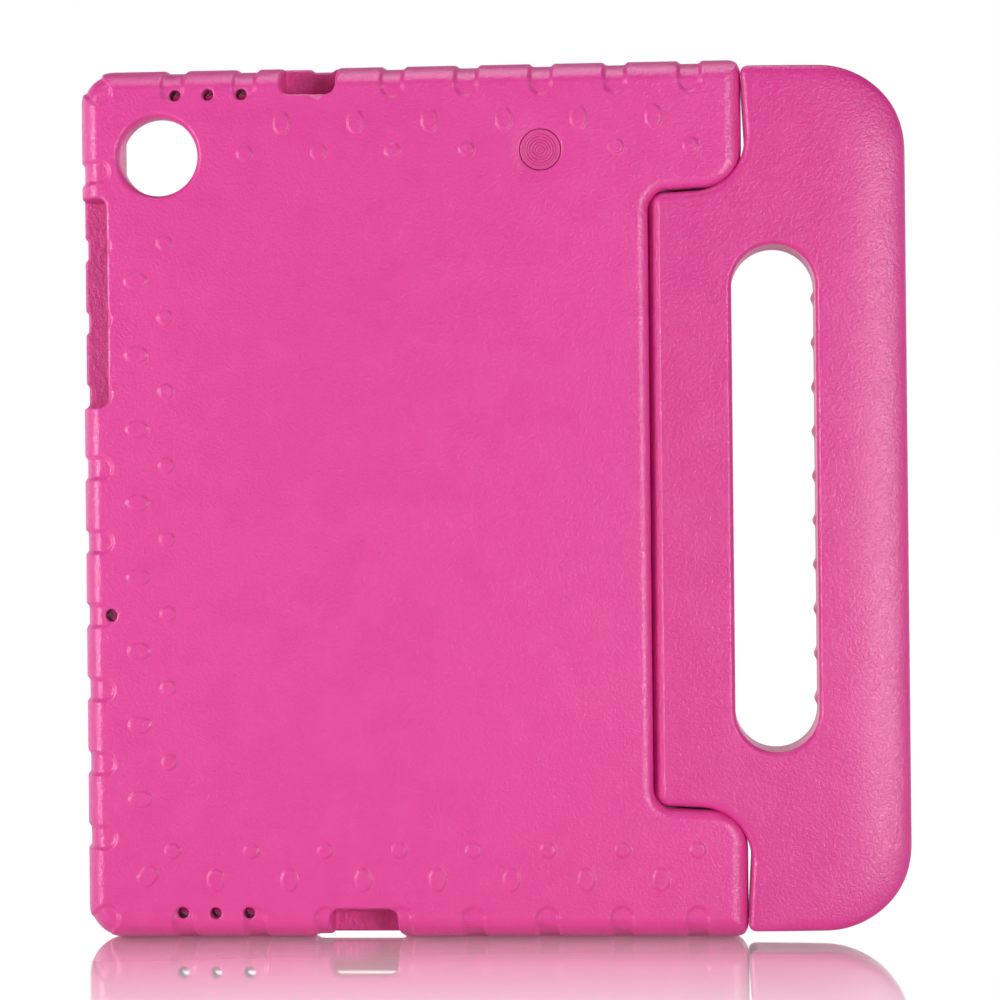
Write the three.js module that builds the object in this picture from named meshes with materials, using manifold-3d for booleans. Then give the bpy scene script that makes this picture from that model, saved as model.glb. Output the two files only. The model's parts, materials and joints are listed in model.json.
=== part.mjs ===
// Foam tablet case with a swivelling carry handle that folds back as a stand.
//
// The case stands on a short edge: +Z is up, +X points from the tablet towards the handle, the back
// panel faces -Y and the screen window faces +Y. Inside this file x is measured from the case's left
// edge, y from the middle of its thickness and z from the middle of its height, all in millimetres.
// The group is moved at the end so that the origin is under the middle of the whole object.

import * as THREE from "three";
import { mergeVertices } from "three/addons/utils/BufferGeometryUtils.js";
import Module from "manifold-3d";

const wasm = await Module();
wasm.setup();

// ---- Driving dimensions -------------------------------------------------------------------------

const CASE_HEIGHT = 260.4;
const THICKNESS = 25;
const OVERALL_WIDTH = 245.6;

const TABLET = { width: 154, height: 244.8, thickness: 8.4 }; // the room a 10 inch tablet needs
const BAY_LEFT = 8.4; // foam beside the tablet
const BAY_CORNER = 7;
const LIP_OVERLAP = 3.1; // how far the front lip reaches over the screen's border
const WINDOW_CHAMFER = 3.5;

const EDGE_ROUND = 5.5; // round along the front and back edges
const CASE_CORNER = 10;
const EDGE_STEPS = 3; // facets in a quarter of an edge round
const ARC_STEPS = 3; // half the facets in an outline's corner
const LATHE_STEPS = 32;
const FIT_GAP = 0.3; // between pieces that touch

// The hinge side of the case: two lobes with a notch between them, where the handle's tab sits.
const NOTCH_WALL = 171;
const NOTCH_CORNER = 6;
const LOBE_EDGE = 197.8;
const LOBE_HEIGHT = 38.8;
const LOBE_INNER_CORNER = 11.5;
const LOBE_OUTER_CORNER = 5.7;

// The swivel axis runs up through both lobes at mid-thickness.
const PIVOT_X = 184;
const TAB_RADIUS = 14.6; // the tab's inner edge is rounded about the axis
const TROUGH_RADIUS = 15; // the hollow in the notch wall that it turns in
const LOBE_SWEEP = 16.8; // the circle that the lobes' rounded edges stay inside, with clearance
const SWEEP_CORNER = 11.3;

// The handle: a tab in the notch, an arm past each lobe and a bar behind a long hand slot.
const HANDLE_HEIGHT = 256.8;
const HANDLE_ROUND = 5;
const HANDLE_CORNER = 25.5;
const ARM_WALL = 199;
const ARM_END_CORNER = 5.2;
const ARM_INNER_CORNER = 9.5;
const TAB_GAP = 0.7; // above and below the tab
const TAB_CORNER = 5.3;
const SLOT = { left: 194.5, right: 219, height: 149 };

// Hinge hardware, one set at each end of the tab.
const PIN = { radius: 3, collar: 4.2, foot: 5, footHeight: 2, ribHeight: 3, inLobe: 17, inTab: 22 };
const BUSH = { outer: 5, flange: 7.5, flangeHeight: 1.2, length: 18 };
const WASHER = { outer: 7, thickness: 1.2 };
const WASHER_RECESS = 1.1; // below the tab's end face

// Holes and cut-outs. Pattern centres lie on a ring this far inside the case's outline.
const RING_INSET = 26.8;
const CAMERA = { x: 25.4, radius: 11.4, rim: 2 };
const PLUG = { x: 138.8, radius: 6.3, depth: 3, inset: 0.3 };
const SPEAKER = { radius: 1.65, inset: 8.8, xs: [30.2, 40.1, 50] };
const MICROPHONE = { radius: 1.8, x: 9.6, z: -32.8 };
const CUT_CORNER = 3;
const BUTTON_CUT = { low: 29.1, high: 91.4, depth: 9.4 };
const HEADPHONE_CUT = { low: 61.5, high: 78.1, depth: 9.1 };
const CHARGING_CUT = { low: 74.1, high: 94.2, depth: 10 };

// ---- Values worked out from them ----------------------------------------------------------------

const HALF_HEIGHT = CASE_HEIGHT / 2;
const BACK = -THICKNESS / 2;
const FRONT = THICKNESS / 2;
const BAY_FLOOR = -TABLET.thickness / 2;
const BAY_ROOF = TABLET.thickness / 2;
const BAY_RIGHT = BAY_LEFT + TABLET.width;
const LOBE_FACE = HALF_HEIGHT - LOBE_HEIGHT; // height of the faces that look at the tab
const TAB_END = LOBE_FACE - TAB_GAP;
const RING_Z = HALF_HEIGHT - RING_INSET;
const PAST = 1; // how far a cutting tool runs past the face it opens

// ---- Solid tools ----------------------------------------------------------------------------------

// A three.js geometry as a solid that can be cut and joined.
function solid(geometry) {
  const bare = geometry.clone();
  bare.deleteAttribute("normal");
  bare.deleteAttribute("uv");
  const merged = mergeVertices(bare, 1e-4);
  return new wasm.Manifold(
    new wasm.Mesh({
      numProp: 3,
      vertProperties: merged.getAttribute("position").array,
      triVerts: new Uint32Array(merged.index.array),
    }),
  );
}

function geometryOf(manifold) {
  const mesh = manifold.getMesh();
  const geometry = new THREE.BufferGeometry();
  geometry.setAttribute("position", new THREE.BufferAttribute(mesh.vertProperties, 3));
  geometry.setIndex(new THREE.BufferAttribute(mesh.triVerts, 1));
  geometry.computeVertexNormals();
  return geometry;
}

// Draws a closed outline through corners given as [x, z, radius], each rounded by an arc.
function trace(path, corners) {
  corners.forEach(([x, z, radius], i) => {
    const corner = new THREE.Vector2(x, z);
    const before = new THREE.Vector2(...corners.at(i - 1));
    const after = new THREE.Vector2(...corners[(i + 1) % corners.length]);
    const toBefore = before.sub(corner).normalize();
    const toAfter = after.sub(corner).normalize();
    const half = Math.acos(toBefore.dot(toAfter)) / 2;
    const start = corner.clone().addScaledVector(toBefore, radius / Math.tan(half));
    const middle = toBefore.clone().add(toAfter).normalize();
    const centre = corner.clone().addScaledVector(middle, radius / Math.sin(half));
    const end = corner.clone().addScaledVector(toAfter, radius / Math.tan(half));
    const from = Math.atan2(start.y - centre.y, start.x - centre.x);
    const to = Math.atan2(end.y - centre.y, end.x - centre.x);
    const clockwise = toBefore.cross(toAfter) > 0;
    path.absarc(centre.x, centre.y, radius, from, to, clockwise);
  });
  path.closePath();
  return path;
}

function rectangle(left, right, low, high, radius) {
  return [
    [left, low, radius],
    [right, low, radius],
    [right, high, radius],
    [left, high, radius],
  ];
}

// An outline in the x-z plane made solid from one depth to another, its edges rounded by `round`.
function slab(shape, fromY, toY, round = 0) {
  const geometry = new THREE.ExtrudeGeometry(shape, {
    depth: toY - fromY - 2 * round,
    curveSegments: ARC_STEPS,
    bevelEnabled: round > 0,
    bevelThickness: round,
    bevelSize: round,
    bevelOffset: -round,
    bevelSegments: EDGE_STEPS,
  });
  geometry.rotateX(Math.PI / 2);
  geometry.translate(0, toY - round, 0);
  return solid(geometry);
}

function roundedSlab(corners, fromY, toY) {
  return slab(trace(new THREE.Shape(), corners), fromY, toY);
}

// A turned solid: a profile of [radius, height] points about a vertical axis.
function turned(profile, steps = LATHE_STEPS) {
  const points = profile.map(([radius, height]) => new THREE.Vector2(radius, height));
  return new THREE.LatheGeometry(points, steps).rotateX(Math.PI / 2);
}

// The points of a quarter circle between two directions, as a turned profile's round corner.
function arcPoints(radius, height, size, fromAngle, toAngle, steps = 4) {
  return Array.from({ length: steps + 1 }, (_, i) => {
    const angle = fromAngle + ((toAngle - fromAngle) * i) / steps;
    return [radius + size * Math.cos(angle), height + size * Math.sin(angle)];
  });
}

// A turned tool whose axis lies along y, from a back or front hole's centre.
function bored(profile, x, z, steps = LATHE_STEPS) {
  const points = profile.map(([radius, y]) => new THREE.Vector2(radius, y));
  return solid(new THREE.LatheGeometry(points, steps).translate(x, 0, z));
}

function roundHole(x, z, radius, fromY, toY, steps) {
  return bored([[0, fromY], [radius, fromY], [radius, toY], [0, toY]], x, z, steps);
}

// ---- The case ---------------------------------------------------------------------------------

function caseOutline() {
  return trace(new THREE.Shape(), [
    [0, -HALF_HEIGHT, CASE_CORNER],
    [LOBE_EDGE, -HALF_HEIGHT, LOBE_OUTER_CORNER],
    [LOBE_EDGE, -LOBE_FACE, LOBE_INNER_CORNER],
    [NOTCH_WALL, -LOBE_FACE, NOTCH_CORNER],
    [NOTCH_WALL, LOBE_FACE, NOTCH_CORNER],
    [LOBE_EDGE, LOBE_FACE, LOBE_INNER_CORNER],
    [LOBE_EDGE, HALF_HEIGHT, LOBE_OUTER_CORNER],
    [0, HALF_HEIGHT, CASE_CORNER],
  ]);
}

// A drum about the swivel axis, with rounded rims: the room that the tab's inner edge turns in, and
// with a smaller radius the tab's own round.
function drum(radius, halfHeight, corner) {
  const rim = radius - corner;
  const profile = [
    [0, -halfHeight],
    ...arcPoints(rim, corner - halfHeight, corner, -Math.PI / 2, 0),
    ...arcPoints(rim, halfHeight - corner, corner, 0, Math.PI / 2),
    [0, halfHeight],
  ];
  return solid(turned(profile, 2 * LATHE_STEPS).translate(PIVOT_X, 0, 0));
}

// The tablet's bay, and the window in front of it with a sloping border.
function tabletRoom() {
  const halfBay = TABLET.height / 2;
  const bay = rectangle(BAY_LEFT, BAY_RIGHT, -halfBay, halfBay, BAY_CORNER);
  const left = BAY_LEFT + LIP_OVERLAP;
  const right = BAY_RIGHT - LIP_OVERLAP;
  const halfWindow = halfBay - LIP_OVERLAP;
  const border = rectangle(left, right, -halfWindow, halfWindow, BAY_CORNER);
  const window = roundedSlab(border, BAY_ROOF - PAST, FRONT + PAST);
  const chamferPlate = new THREE.ExtrudeGeometry(trace(new THREE.Shape(), border), {
    depth: PAST,
    curveSegments: ARC_STEPS,
    bevelThickness: WINDOW_CHAMFER,
    bevelSize: WINDOW_CHAMFER,
    bevelSegments: 1,
  });
  chamferPlate.rotateX(Math.PI / 2).translate(0, FRONT + WINDOW_CHAMFER / 2 + PAST, 0);
  return roundedSlab(bay, BAY_FLOOR, BAY_ROOF).add(window).add(solid(chamferPlate));
}

function cameraHole() {
  const { x, radius, rim } = CAMERA;
  const profile = [
    [0, BACK - PAST],
    [radius + rim, BACK - PAST],
    ...arcPoints(radius + rim, BACK + rim, rim, -Math.PI / 2, -Math.PI, 3),
    [radius, BAY_FLOOR + PAST],
    [0, BAY_FLOOR + PAST],
  ];
  return bored(profile, x, RING_Z);
}

// Every cut-out opens the back and one side, and leaves the front lip whole.
function sideCuts() {
  const button = BUTTON_CUT;
  const headphone = HEADPHONE_CUT;
  const charging = CHARGING_CUT;
  const beyond = 2 * CUT_CORNER;
  const top = HALF_HEIGHT + beyond;
  return [
    rectangle(-beyond, button.depth, button.low, button.high, CUT_CORNER),
    rectangle(headphone.low, headphone.high, HALF_HEIGHT - headphone.depth, top, CUT_CORNER),
    rectangle(charging.low, charging.high, -top, charging.depth - HALF_HEIGHT, CUT_CORNER),
  ].map((corners) => roundedSlab(corners, BACK - PAST, BAY_ROOF));
}

function soundHoles() {
  const edgeZ = HALF_HEIGHT - SPEAKER.inset;
  const holes = [[MICROPHONE.x, MICROPHONE.z, MICROPHONE.radius]];
  for (const x of SPEAKER.xs) {
    holes.push([x, edgeZ, SPEAKER.radius], [x, -edgeZ, SPEAKER.radius]);
  }
  return holes.map(([x, z, radius]) => roundHole(x, z, radius, BACK - PAST, BAY_FLOOR + PAST, 12));
}

// The blind bore in the upper lobe for the flanged bush; `end` is 1 at the top and -1 below.
function bushBore(end) {
  const { outer, flange, flangeHeight, length } = BUSH;
  const floor = LOBE_FACE + flangeHeight + FIT_GAP;
  const profile = [
    [0, LOBE_FACE - PAST],
    [flange + FIT_GAP, LOBE_FACE - PAST],
    [flange + FIT_GAP, floor],
    [outer + FIT_GAP, floor],
    [outer + FIT_GAP, LOBE_FACE + length + FIT_GAP],
    [0, LOBE_FACE + length + FIT_GAP],
  ];
  return solid(placedAtEnd(turned(profile), end));
}

// Hinge pieces are drawn for the upper end; the lower ones are turned over about the x axis.
function placedAtEnd(geometry, end) {
  if (end < 0) geometry.rotateX(Math.PI);
  return geometry.translate(PIVOT_X, 0, 0);
}

function caseShell() {
  let shell = slab(caseOutline(), BACK, FRONT, EDGE_ROUND);
  shell = shell.subtract(drum(TROUGH_RADIUS, LOBE_FACE, NOTCH_CORNER));
  shell = shell.subtract(tabletRoom()).subtract(cameraHole());
  for (const tool of [...sideCuts(), ...soundHoles(), bushBore(1), bushBore(-1)]) {
    shell = shell.subtract(tool);
  }
  const pocket = roundHole(PLUG.x, RING_Z, PLUG.radius + FIT_GAP, BACK - PAST, BACK + PLUG.depth);
  return shell.subtract(pocket);
}

function backPlug() {
  const top = BACK + PLUG.inset;
  const bottom = BACK + PLUG.depth - FIT_GAP;
  return roundHole(PLUG.x, RING_Z, PLUG.radius, top, bottom);
}

// ---- The handle -------------------------------------------------------------------------------

function handleOutline() {
  const end = HANDLE_HEIGHT / 2;
  const tabEdge = PIVOT_X - TAB_RADIUS;
  const outline = trace(new THREE.Shape(), [
    [OVERALL_WIDTH, -end, HANDLE_CORNER],
    [OVERALL_WIDTH, end, HANDLE_CORNER],
    [ARM_WALL, end, ARM_END_CORNER],
    [ARM_WALL, TAB_END, ARM_INNER_CORNER],
    [tabEdge, TAB_END, TAB_CORNER],
    [tabEdge, -TAB_END, TAB_CORNER],
    [ARM_WALL, -TAB_END, ARM_INNER_CORNER],
    [ARM_WALL, -end, ARM_END_CORNER],
  ]);
  const halfSlot = SLOT.height / 2;
  const radius = (SLOT.right - SLOT.left) / 2 - 0.01; // two near-half circles need a little flat
  const slotCorners = rectangle(SLOT.left, SLOT.right, -halfSlot, halfSlot, radius);
  outline.holes.push(trace(new THREE.Path(), slotCorners));
  return outline;
}

// The room that a lobe sweeps when the handle turns about it.
function lobeSweep(end) {
  const low = LOBE_FACE - FIT_GAP;
  const high = HALF_HEIGHT + PAST;
  const corner = SWEEP_CORNER;
  const profile = [
    [0, low],
    ...arcPoints(LOBE_SWEEP - corner, low + corner, corner, -Math.PI / 2, 0, 6),
    [LOBE_SWEEP, high],
    [0, high],
  ];
  return solid(placedAtEnd(turned(profile, 2 * LATHE_STEPS), end));
}

// The pin's outline: a journal in the bush, a collar and ribs that the tab's foam grips, and a foot.
function pinProfile(gap) {
  const { radius, collar, foot, footHeight, ribHeight, inTab, inLobe } = PIN;
  const bottom = TAB_END - inTab;
  const rib = bottom + footHeight + 2 * ribHeight;
  return [
    [0, bottom - gap],
    [foot + gap, bottom - gap],
    [foot + gap, bottom + footHeight + gap],
    [radius + gap, bottom + footHeight + gap],
    [radius + gap, rib - gap],
    [collar + gap, rib - gap],
    [collar + gap, rib + ribHeight + gap],
    [radius + gap, rib + ribHeight + gap],
    [radius + gap, LOBE_FACE + inLobe + gap],
    [0, LOBE_FACE + inLobe + gap],
  ];
}

function washerRecess(end) {
  const { outer } = WASHER;
  const profile = [
    [0, TAB_END - WASHER_RECESS],
    [outer + FIT_GAP, TAB_END - WASHER_RECESS],
    [outer + FIT_GAP, LOBE_FACE],
    [0, LOBE_FACE],
  ];
  return solid(placedAtEnd(turned(profile), end));
}

function handle() {
  let ring = slab(handleOutline(), BACK, FRONT, HANDLE_ROUND);
  const rightOfAxis = new THREE.BoxGeometry(OVERALL_WIDTH, 2 * THICKNESS, 2 * CASE_HEIGHT);
  rightOfAxis.translate(PIVOT_X + OVERALL_WIDTH / 2, 0, 0);
  ring = ring.intersect(solid(rightOfAxis).add(drum(TAB_RADIUS, TAB_END, TAB_CORNER)));
  for (const end of [1, -1]) {
    ring = ring.subtract(lobeSweep(end)).subtract(washerRecess(end));
    ring = ring.subtract(solid(placedAtEnd(turned(pinProfile(FIT_GAP)), end)));
  }
  return ring;
}

// ---- Hinge hardware ---------------------------------------------------------------------------

function hingePin(end) {
  return solid(placedAtEnd(turned(pinProfile(0)), end));
}

// A plain bearing bush whose flange lies flush in the lobe's face.
function hingeBush(end) {
  const { outer, flange, flangeHeight, length } = BUSH;
  const bore = PIN.radius + FIT_GAP;
  const profile = [
    [bore, LOBE_FACE],
    [flange, LOBE_FACE],
    [flange, LOBE_FACE + flangeHeight],
    [outer, LOBE_FACE + flangeHeight],
    [outer, LOBE_FACE + length],
    [bore, LOBE_FACE + length],
    [bore, LOBE_FACE],
  ];
  return solid(placedAtEnd(turned(profile), end));
}

function hingeWasher(end) {
  const bore = PIN.radius + FIT_GAP;
  const low = TAB_END - WASHER_RECESS + FIT_GAP;
  const high = low + WASHER.thickness;
  const profile = [
    [bore, low],
    [WASHER.outer, low],
    [WASHER.outer, high],
    [bore, high],
    [bore, low],
  ];
  return solid(placedAtEnd(turned(profile), end));
}

// ---- The assembly -----------------------------------------------------------------------------

const FOAM = { color: 0xde519a, roughness: 0.62, metalness: 0 };
const PLUG_FOAM = { color: 0xd84a96, roughness: 0.5, metalness: 0 };
const STEEL = { color: 0xb9bcc0, roughness: 0.3, metalness: 1 };
const NYLON = { color: 0x2b2a2c, roughness: 0.45, metalness: 0 };

const assembly = new THREE.Group();

function addPiece(name, manifold, look) {
  const mesh = new THREE.Mesh(geometryOf(manifold), new THREE.MeshStandardMaterial(look));
  mesh.name = name;
  assembly.add(mesh);
}

addPiece("case_shell", caseShell(), FOAM);
addPiece("handle", handle(), FOAM);
addPiece("back_plug", backPlug(), PLUG_FOAM);
for (const [place, end] of [["upper", 1], ["lower", -1]]) {
  addPiece(`${place}_hinge_pin`, hingePin(end), STEEL);
  addPiece(`${place}_hinge_bush`, hingeBush(end), NYLON);
  addPiece(`${place}_hinge_washer`, hingeWasher(end), NYLON);
}

assembly.position.set(-OVERALL_WIDTH / 2, 0, HALF_HEIGHT);

export default assembly;
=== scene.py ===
# The looks of a foam tablet case with a swivelling carry handle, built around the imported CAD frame.
#
# The two foam mouldings are measured as distance fields: each has one function that says how far any
# point is from its surface. A mesh is drawn where that distance is zero, thinned, and settled back on
# the exact surface. Lengths inside this file are millimetres, with x from the case's left edge, y from
# the middle of its thickness (the back is at -y) and z from the middle of its height.

import json
import math

import bpy
import numpy as np
from mathutils import Matrix, Vector


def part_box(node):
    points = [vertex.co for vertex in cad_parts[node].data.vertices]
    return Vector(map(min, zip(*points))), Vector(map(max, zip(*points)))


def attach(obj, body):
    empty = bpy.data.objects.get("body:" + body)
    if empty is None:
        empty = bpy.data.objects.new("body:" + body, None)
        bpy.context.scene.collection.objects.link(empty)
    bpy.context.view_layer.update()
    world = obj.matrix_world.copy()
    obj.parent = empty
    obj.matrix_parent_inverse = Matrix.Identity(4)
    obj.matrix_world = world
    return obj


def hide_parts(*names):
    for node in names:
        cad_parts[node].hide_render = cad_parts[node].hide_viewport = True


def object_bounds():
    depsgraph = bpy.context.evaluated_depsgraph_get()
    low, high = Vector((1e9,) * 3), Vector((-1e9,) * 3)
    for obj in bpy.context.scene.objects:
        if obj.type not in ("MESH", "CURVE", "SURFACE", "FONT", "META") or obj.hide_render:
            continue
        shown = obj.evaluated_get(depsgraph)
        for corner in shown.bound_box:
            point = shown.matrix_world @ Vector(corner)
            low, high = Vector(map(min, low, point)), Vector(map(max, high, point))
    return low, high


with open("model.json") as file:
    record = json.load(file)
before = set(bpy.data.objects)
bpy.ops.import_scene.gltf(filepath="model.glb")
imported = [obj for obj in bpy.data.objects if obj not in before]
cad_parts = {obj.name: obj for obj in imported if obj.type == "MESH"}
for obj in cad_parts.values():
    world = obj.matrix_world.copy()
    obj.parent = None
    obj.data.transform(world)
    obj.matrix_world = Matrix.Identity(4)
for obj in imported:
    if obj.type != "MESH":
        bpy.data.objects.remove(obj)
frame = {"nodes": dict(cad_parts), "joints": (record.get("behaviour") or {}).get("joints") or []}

CAD_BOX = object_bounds()

# ---- Sizes from the frame ---------------------------------------------------------------------------

MM = 0.001
FAR = 1e3

# How far the photograph's edges lie from the CAD's.
BAR_WIDER = 0.4
HANDLE_SHORTER = 1.2
PLUG_SMALLER = 0.35
CASE_PROUD = 0.3


def box_mm(node):
    low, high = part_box(node)
    return np.array(low) / MM, np.array(high) / MM


CASE_LOW, CASE_HIGH = box_mm("case_shell")
HANDLE_LOW, HANDLE_HIGH = box_mm("handle")
ORIGIN = np.array([CASE_LOW[0], 0.0, (CASE_LOW[2] + CASE_HIGH[2]) / 2])
HALF_HEIGHT = (CASE_HIGH[2] - CASE_LOW[2]) / 2
HALF_DEPTH = (CASE_HIGH[1] - CASE_LOW[1]) / 2
LOBE_EDGE = CASE_HIGH[0] - ORIGIN[0]
BAR_EDGE = HANDLE_HIGH[0] - ORIGIN[0] + BAR_WIDER
HANDLE_HALF = (HANDLE_HIGH[2] - HANDLE_LOW[2]) / 2 - HANDLE_SHORTER
PIVOT_X = frame["joints"][0]["pos_m"][0] / MM - ORIGIN[0]
PLUG_LOW, PLUG_HIGH = box_mm("back_plug")
PLUG_X = (PLUG_LOW[0] + PLUG_HIGH[0]) / 2 - ORIGIN[0]
PLUG_RADIUS = (PLUG_HIGH[0] - PLUG_LOW[0]) / 2 - PLUG_SMALLER

# ---- Driving dimensions, as in the CAD or up to 2 mm from it ----------------------------------------

NOTCH_WALL = 170.3
LOBE_FACE = HALF_HEIGHT - 38.8
FACE_SLOPE = 0.05  # the lobes' inner faces rise a little towards the handle
ARM_WALL = 197.6  # the arms' inner walls lean away from the lobes, from here to ARM_FOOT beside the tab
ARM_FOOT = 199.6
TAB_END = LOBE_FACE - 0.7
TAB_RADIUS = 16.0
TROUGH_RADIUS = 16.4
TROUGH_RIM = 6.0
TAB_CORNER = 5.3
SLOT = {"left": 194.5, "right": 219.0, "half": 74.5}
FIT_GAP = 0.3
PLUG_GAP = 0.15
# The bores for the bushes, pins and washers, before FIT_GAP is added all round.
BUSH = {"flange": 7.5, "flange_depth": 1.2, "barrel": 5, "barrel_depth": 18}
WASHER = {"radius": 7, "depth": 1.1}
PIN = {"radius": 3, "depth": 22, "foot": 5, "foot_at": 21, "collar": 4.2, "collar_at": 12.5}

BAY = {"left": 8.4, "right": 162.4, "half": 122.4, "corner": 7.0, "depth": 4.2}
LIP_OVERLAP = 3.1
RING_INSET = 26.8  # from the outline to the camera hole, the plug and the round marks
OVAL_INSET = 18.1
RING_Z = HALF_HEIGHT - RING_INSET
CAMERA_HOLE = {"x": 24.9, "radius": 11.6, "rim": 1.3}
SOUND_HOLE = {"radius": 1.65, "inset": 8.8, "xs": (30.2, 40.1, 50.0)}
MICROPHONE = {"radius": 1.8, "x": 9.6, "z": -32.8}
PITCH = 22.0  # of the grooves and the marks

# ---- Distance fields --------------------------------------------------------------------------------


class Samples:
    """Points to measure a shape at: the corners of a grid, or a list such as a mesh's vertices."""

    def __init__(self, x, y, z):
        self.x, self.y, self.z = x, y, z

    def near(self, low, high):
        """Where the samples in a box are among all of them, and those samples."""
        axes = (self.x, self.y, self.z)
        if self.x.ndim == 1:
            inside = np.ones(len(self.x), bool)
            for axis, a, b in zip(axes, low, high):
                inside &= (axis > a) & (axis < b)
            found = np.flatnonzero(inside)
            return found, Samples(*(axis[found] for axis in axes))
        spans = tuple(
            slice(*np.searchsorted(axis.ravel(), (a, b)))
            for axis, a, b in zip(axes, low, high)
        )
        i, j, k = spans
        return spans, Samples(self.x[i], self.y[:, j], self.z[:, :, k])


def smooth_max(a, b, size):
    """The larger of two distances, with the edge between them softened over about that size."""
    blend = np.maximum(size - np.abs(a - b), 0) / size
    return np.maximum(a, b) + blend * blend * size / 4


def smooth_min(a, b, size):
    return -smooth_max(-a, -b, size)


def round_max(a, b, radius):
    """The edge between two faces, rounded to a radius."""
    return np.minimum(np.maximum(a, b), -radius) + np.hypot(
        np.maximum(a + radius, 0), np.maximum(b + radius, 0)
    )


def oval_max(a, b, wide, deep):
    """The edge between two faces, rounded as a quarter oval, wide along one and deep along the other."""
    u, v = np.maximum(a + wide, 0), np.maximum(b + deep, 0)
    size = np.hypot(u / wide, v / deep)
    slope = np.hypot(u / wide ** 2, v / deep ** 2)
    near_edge = (size - 1) * size / np.maximum(slope, 1e-6)
    well_inside = np.maximum(np.maximum(a, b), -0.6 * np.minimum(wide, deep))
    return np.where(size > 0.4, near_edge, well_inside)


def step(value, start, end):
    """0 before start and 1 after end, with a smooth rise between them."""
    t = np.clip((value - start) / (end - start), 0, 1)
    return t * t * (3 - 2 * t)


def outline(corners):
    """The straights and arcs of an anticlockwise outline with corners given as (x, z, radius)."""
    straights, arcs, ends = [], [], []
    for i, (x, z, radius) in enumerate(corners):
        corner = Vector((x, z))
        before = (Vector(corners[i - 1][:2]) - corner).normalized()
        after = (Vector(corners[(i + 1) % len(corners)][:2]) - corner).normalized()
        half = before.angle(after) / 2
        middle = (before + after).normalized()
        centre = corner + middle * (radius / math.sin(half))
        turn = 1 if before.cross(after) < 0 else -1
        arcs.append((centre, radius, -middle, math.sin(half), turn))
        tangent = radius / math.tan(half)
        ends.append((corner + before * tangent, corner + after * tangent))
    for i, (_, end) in enumerate(ends):
        straights.append((end, ends[(i + 1) % len(ends)][0]))
    return straights, arcs


def outline_distance(shape, x, z):
    """Distance to an outline, negative inside it."""
    straights, arcs = shape
    nearest = np.full(np.broadcast(x, z).shape, 1e9, x.dtype)
    signed = nearest.copy()
    for start, end in straights:
        along = (end - start).normalized()
        px, pz = x - start.x, z - start.y
        t = np.clip(px * along.x + pz * along.y, 0, (end - start).length)
        distance = np.hypot(px - t * along.x, pz - t * along.y)
        side = np.where(px * along.y - pz * along.x > 0, distance, -distance)
        closer = distance < nearest
        nearest = np.where(closer, distance, nearest)
        signed = np.where(closer, side, signed)
    for centre, radius, middle, reach, turn in arcs:
        px, pz = x - centre.x, z - centre.y
        away = np.hypot(px, pz)
        side = (away - radius) * turn
        facing = px * middle.x + pz * middle.y >= away * reach
        closer = facing & (np.abs(side) < nearest)
        nearest = np.where(closer, np.abs(side), nearest)
        signed = np.where(closer, side, signed)
    return signed


def rectangle(left, right, low, high, radius):
    return outline([(left, low, radius), (right, low, radius), (right, high, radius), (left, high, radius)])


def capsule(x, z, start, end, radius):
    """Distance to a straight stroke with round ends."""
    dx, dz = end[0] - start[0], end[1] - start[1]
    t = np.clip(((x - start[0]) * dx + (z - start[1]) * dz) / (dx * dx + dz * dz), 0, 1)
    return np.hypot(x - start[0] - t * dx, z - start[1] - t * dz) - radius


def face_height(x, level):
    """Height of a lobe's inner face, or of the tab's end that looks at it."""
    return level + FACE_SLOPE * (x - PIVOT_X)


# ---- The case's field -------------------------------------------------------------------------------

CASE_CORNER = 10.5
LOBE_OUTER_CORNER = 5.7
LOBE_INNER_CORNER = 11.5
NOTCH_CORNER = 6
CASE_TOP = HALF_HEIGHT + CASE_PROUD
# The whole case with its notch. Its left side lies just outside OUTER_EDGE, which shapes that edge.
CASE_OUTLINE = outline([
    (-1, -HALF_HEIGHT, CASE_CORNER),
    (LOBE_EDGE, -HALF_HEIGHT, LOBE_OUTER_CORNER),
    (LOBE_EDGE, -face_height(LOBE_EDGE, LOBE_FACE), LOBE_INNER_CORNER),
    (NOTCH_WALL, -face_height(NOTCH_WALL, LOBE_FACE), NOTCH_CORNER),
    (NOTCH_WALL, face_height(NOTCH_WALL, LOBE_FACE), NOTCH_CORNER),
    (LOBE_EDGE, face_height(LOBE_EDGE, LOBE_FACE), LOBE_INNER_CORNER),
    (LOBE_EDGE, CASE_TOP, LOBE_OUTER_CORNER),
    (-1, CASE_TOP, CASE_CORNER),
])
OUTER_EDGE = outline([
    (-CASE_PROUD, -HALF_HEIGHT, CASE_CORNER),
    (LOBE_EDGE + 60, -HALF_HEIGHT, 10),
    (LOBE_EDGE + 60, CASE_TOP, 10),
    (-CASE_PROUD, CASE_TOP, CASE_CORNER),
])
# The outer edges are widest at this depth and curve away from it to the back and to the front.
WAIST = {"y": 4.0, "back": 7.4, "front": 6.0}
HINGE_ROUND = {"face": 3.4, "side": 5.2}
BAY_OUTLINE = rectangle(BAY["left"], BAY["right"], -BAY["half"], BAY["half"], BAY["corner"])
WINDOW_OUTLINE = rectangle(
    BAY["left"] + LIP_OVERLAP,
    BAY["right"] - LIP_OVERLAP,
    LIP_OVERLAP - BAY["half"],
    BAY["half"] - LIP_OVERLAP,
    BAY["corner"],
)
CUT_CORNER = 3.0
CUTS = {
    "button": (-20.0, 9.4, 29.1, 91.4),
    "headphone": (61.5, 78.1, HALF_HEIGHT - 9.1, HALF_HEIGHT + 20),
    "charging": (74.1, 94.2, -HALF_HEIGHT - 20, 10 - HALF_HEIGHT),
}

# Under the charging cut-out the case is lifted clear of the floor, all through its thickness.
SCOOP_OUTLINE = rectangle(68.5, 95.0, -HALF_HEIGHT - 20, 1.3 - HALF_HEIGHT, 1.2)

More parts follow.
